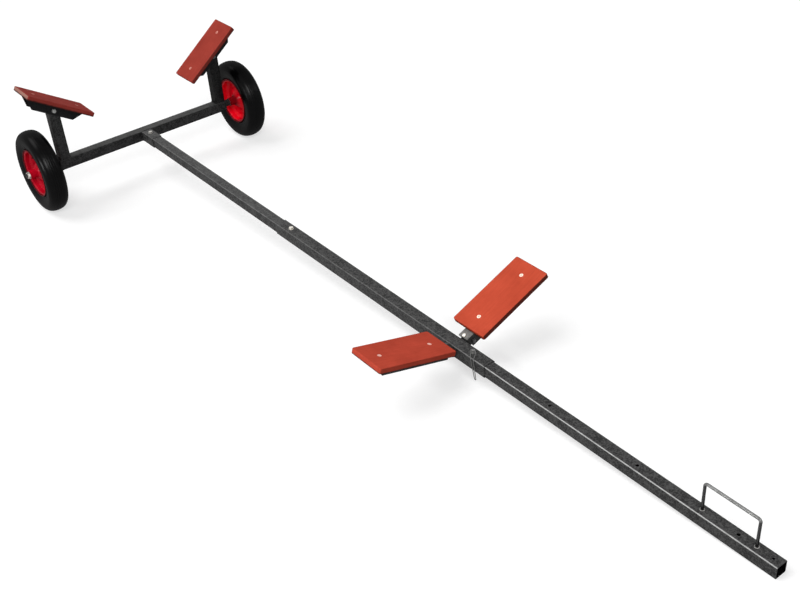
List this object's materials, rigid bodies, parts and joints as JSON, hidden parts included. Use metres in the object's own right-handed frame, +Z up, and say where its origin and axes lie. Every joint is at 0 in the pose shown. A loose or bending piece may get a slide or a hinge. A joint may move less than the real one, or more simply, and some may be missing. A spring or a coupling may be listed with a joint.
{
  "type": "boat trailer",
  "caption": "Hand launching trailer for a small boat: pneumatic wheels, square telescoping drawbar with pull handle, and tilting painted boards that carry the hull.",
  "frame": {"origin": "centre of the bounding box at ground level, parked with the drawbar end on the ground", "axes": "+X forward along the drawbar, +Y to the left wheel, +Z up"},
  "size_m": [3.9029, 1.234, 0.6083],
  "materials": {
    "frame_paint": "textured dark anthracite paint",
    "channel_paint": "black satin paint",
    "board_paint": "brick red satin paint on board",
    "tyre_rubber": "black rubber with a soft sheen",
    "rim_paint": "bright red gloss paint",
    "hub_steel": "dark oiled steel",
    "axle_steel": "dark painted steel",
    "zinc": "pale zinc plate",
    "valve_rubber": "black rubber"
  },
  "bodies": {
    "chassis": {"axle_tube": "frame_paint", "drawbar_socket": "frame_paint", "rear_bar": "frame_paint", "middle_bar": "frame_paint", "front_bar": "frame_paint", "socket_bolt": "zinc", "sleeve_bolt": "zinc", "locking_pin": "zinc", "pin_keeper": "zinc", "pull_handle": "frame_paint", "spindle_left": "axle_steel", "axle_nut_left": "zinc", "post_left": "frame_paint", "front_lug_left": "frame_paint", "spindle_right": "axle_steel", "axle_nut_right": "zinc", "post_right": "frame_paint", "front_lug_right": "frame_paint"},
    "wheel_left": {"tyre_left": "tyre_rubber", "rim_left": "rim_paint", "hub_left": "hub_steel", "valve_left": "valve_rubber"},
    "rear_support_left": {"rear_channel_left": "channel_paint", "rear_board_left": "board_paint", "rear_board_bolts_left": "zinc", "rear_pivot_left": "zinc"},
    "front_support_left": {"front_channel_left": "channel_paint", "front_board_left": "board_paint", "front_board_bolts_left": "zinc", "front_pivot_left": "zinc"},
    "wheel_right": {"tyre_right": "tyre_rubber", "rim_right": "rim_paint", "hub_right": "hub_steel", "valve_right": "valve_rubber"},
    "rear_support_right": {"rear_channel_right": "channel_paint", "rear_board_right": "board_paint", "rear_board_bolts_right": "zinc", "rear_pivot_right": "zinc"},
    "front_support_right": {"front_channel_right": "channel_paint", "front_board_right": "board_paint", "front_board_bolts_right": "zinc", "front_pivot_right": "zinc"}
  },
  "joints": [
    {"name": "wheel_spin_left", "type": "hinge", "parent": "chassis", "child": "wheel_left", "pos_m": [-1.7555, 0.54, 0.196], "axis": [0, 1, 0], "continuous": true},
    {"name": "wheel_spin_right", "type": "hinge", "parent": "chassis", "child": "wheel_right", "pos_m": [-1.7555, -0.54, 0.196], "axis": [0, 1, 0], "continuous": true},
    {"name": "rear_tilt_left", "type": "hinge", "parent": "chassis", "child": "rear_support_left", "pos_m": [-1.74266, 0.422, 0.4702], "axis": [0.9989, 0, -0.0468], "range_deg": [-30, 17]},
    {"name": "rear_tilt_right", "type": "hinge", "parent": "chassis", "child": "rear_support_right", "pos_m": [-1.74266, -0.422, 0.4702], "axis": [-0.9989, 0, 0.0468], "range_deg": [-26, 22]},
    {"name": "front_tilt_left", "type": "hinge", "parent": "chassis", "child": "front_support_left", "pos_m": [0.58826, 0.0625, 0.09327], "axis": [0.9989, 0, -0.0468], "range_deg": [-13, 8]},
    {"name": "front_tilt_right", "type": "hinge", "parent": "chassis", "child": "front_support_right", "pos_m": [0.58826, -0.0625, 0.09327], "axis": [-0.9989, 0, 0.0468], "range_deg": [-8, 13]}
  ]
}
